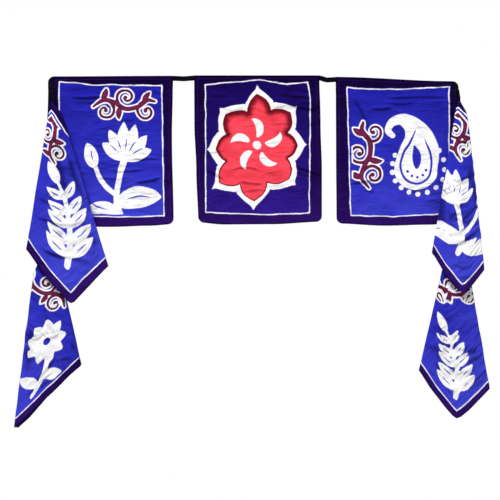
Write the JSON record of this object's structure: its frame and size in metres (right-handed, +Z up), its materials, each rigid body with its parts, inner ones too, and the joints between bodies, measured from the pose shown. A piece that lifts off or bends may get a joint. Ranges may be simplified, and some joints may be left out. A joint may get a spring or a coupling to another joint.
{
  "type": "cotton flag garland on a tape",
  "caption": "Hand-dyed cotton flags sewn to a dark tape, face on along the top and hung by their corners in long folds down both sides of an opening.",
  "frame": {"origin": "middle of the tape's top edge, on its back face, where the garland is held", "axes": "+X along the top to the viewer's right, +Y back towards what holds it, +Z up"},
  "size_m": [0.9497, 0.0357, 0.7096],
  "materials": {
    "cloth": "matt hand-dyed cotton, royal blue with dark purple borders and white wax lines",
    "indigo_cloth": "matt hand-dyed cotton, deep indigo with a red lotus in white outline",
    "tape": "matt black cotton tape"
  },
  "bodies": {
    "root": {"heading_tape": "tape", "flag_left_inner": "cloth", "flag_centre": "indigo_cloth", "flag_right_inner": "cloth", "flag_left_upper": "cloth", "flag_left_lower": "cloth", "flag_right_upper": "cloth", "flag_right_lower": "cloth"}
  },
  "joints": []
}
